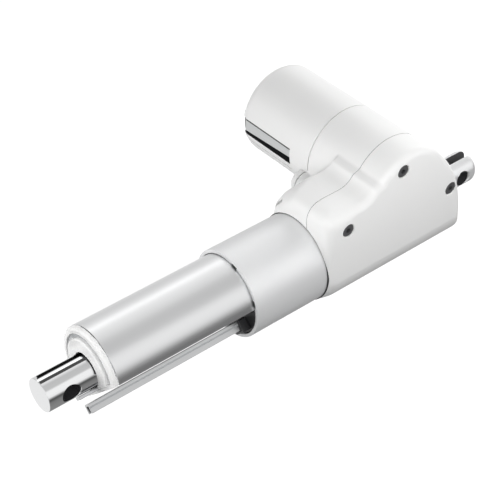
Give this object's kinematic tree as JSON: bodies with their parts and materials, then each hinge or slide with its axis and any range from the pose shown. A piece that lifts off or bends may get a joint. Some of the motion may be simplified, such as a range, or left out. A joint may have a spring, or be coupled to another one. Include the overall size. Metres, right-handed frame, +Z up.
{
  "type": "linear actuator",
  "caption": "Compact electric linear actuator: motor set square to a round telescoping tube body, chromed rod with cross hole, slotted rear clevis, white moulded gear housing.",
  "frame": {"origin": "centre of the cross hole in the rear clevis", "axes": "+X along the rod from the rear clevis to the rod end, +Z up, the motor lies along -Y"},
  "size_m": [0.3155, 0.1203, 0.0897],
  "materials": {
    "white_shell": "fine satin moulded white",
    "grey_plastic": "matte light grey",
    "rubber": "matte black",
    "dark_plastic": "matte dark grey",
    "carbon": "dull carbon",
    "aluminium": "satin anodised",
    "chrome": "polished hard chrome",
    "steel": "zinc plated, lightly brushed",
    "bearing_steel": "ground",
    "bronze": "machined bronze",
    "copper": "enamelled copper",
    "magnet": "sintered",
    "circuit_board": "solder mask"
  },
  "bodies": {
    "root": {"housing_body": "white_shell", "housing_cover": "white_shell", "motor_cover": "white_shell", "end_cap": "white_shell", "cable_channel": "grey_plastic", "connector_insert": "grey_plastic", "tube_gasket": "rubber", "rod_wiper": "rubber", "tube_key_1": "dark_plastic", "tube_key_2": "dark_plastic", "profile_filler": "dark_plastic", "rail_clip": "dark_plastic", "limit_switch_rear": "dark_plastic", "limit_switch_front": "dark_plastic", "motor_end_plate": "dark_plastic", "brush_1": "carbon", "brush_2": "carbon", "outer_tube": "aluminium", "inner_tube": "aluminium", "cable_rail": "aluminium", "rear_clevis": "steel", "cover_screw_1": "steel", "cover_screw_2": "steel", "cover_screw_3": "steel", "motor_can": "steel", "spindle_bearing_rear": "bearing_steel", "spindle_bearing_front": "bearing_steel", "motor_bearing_front": "bearing_steel", "motor_bearing_rear": "bearing_steel", "worm_bearing": "bearing_steel", "magnet_1": "magnet", "magnet_2": "magnet", "switch_board": "circuit_board"},
    "rod": {"piston_rod": "chrome", "guide_bar": "steel", "drive_nut": "grey_plastic"},
    "spindle": {"spindle": "steel", "worm_wheel": "bronze", "spindle_bush": "grey_plastic"},
    "motor_rotor": {"worm_shaft": "steel", "armature_core": "steel", "winding_front": "copper", "winding_rear": "copper", "commutator": "copper"}
  },
  "joints": [
    {"name": "motor_spin", "type": "hinge", "parent": "root", "child": "motor_rotor", "pos_m": [0.065, 0, 0.0315], "axis": [0, -1, 0], "range_deg": [0, 120074.5]},
    {"name": "spindle_spin", "type": "hinge", "parent": "root", "child": "spindle", "pos_m": [0.065, 0, 0], "axis": [-1, 0, 0], "range_deg": [0, 4140.5]},
    {"name": "rod_slide", "type": "slide", "parent": "root", "child": "rod", "axis": [1, 0, 0], "range_m": [0, 0.115]}
  ],
  "couplings": [
    {"joint": "spindle_spin", "follows": "rod_slide", "rad_per_m": 628.32},
    {"joint": "motor_spin", "follows": "rod_slide", "rad_per_m": 18221}
  ]
}
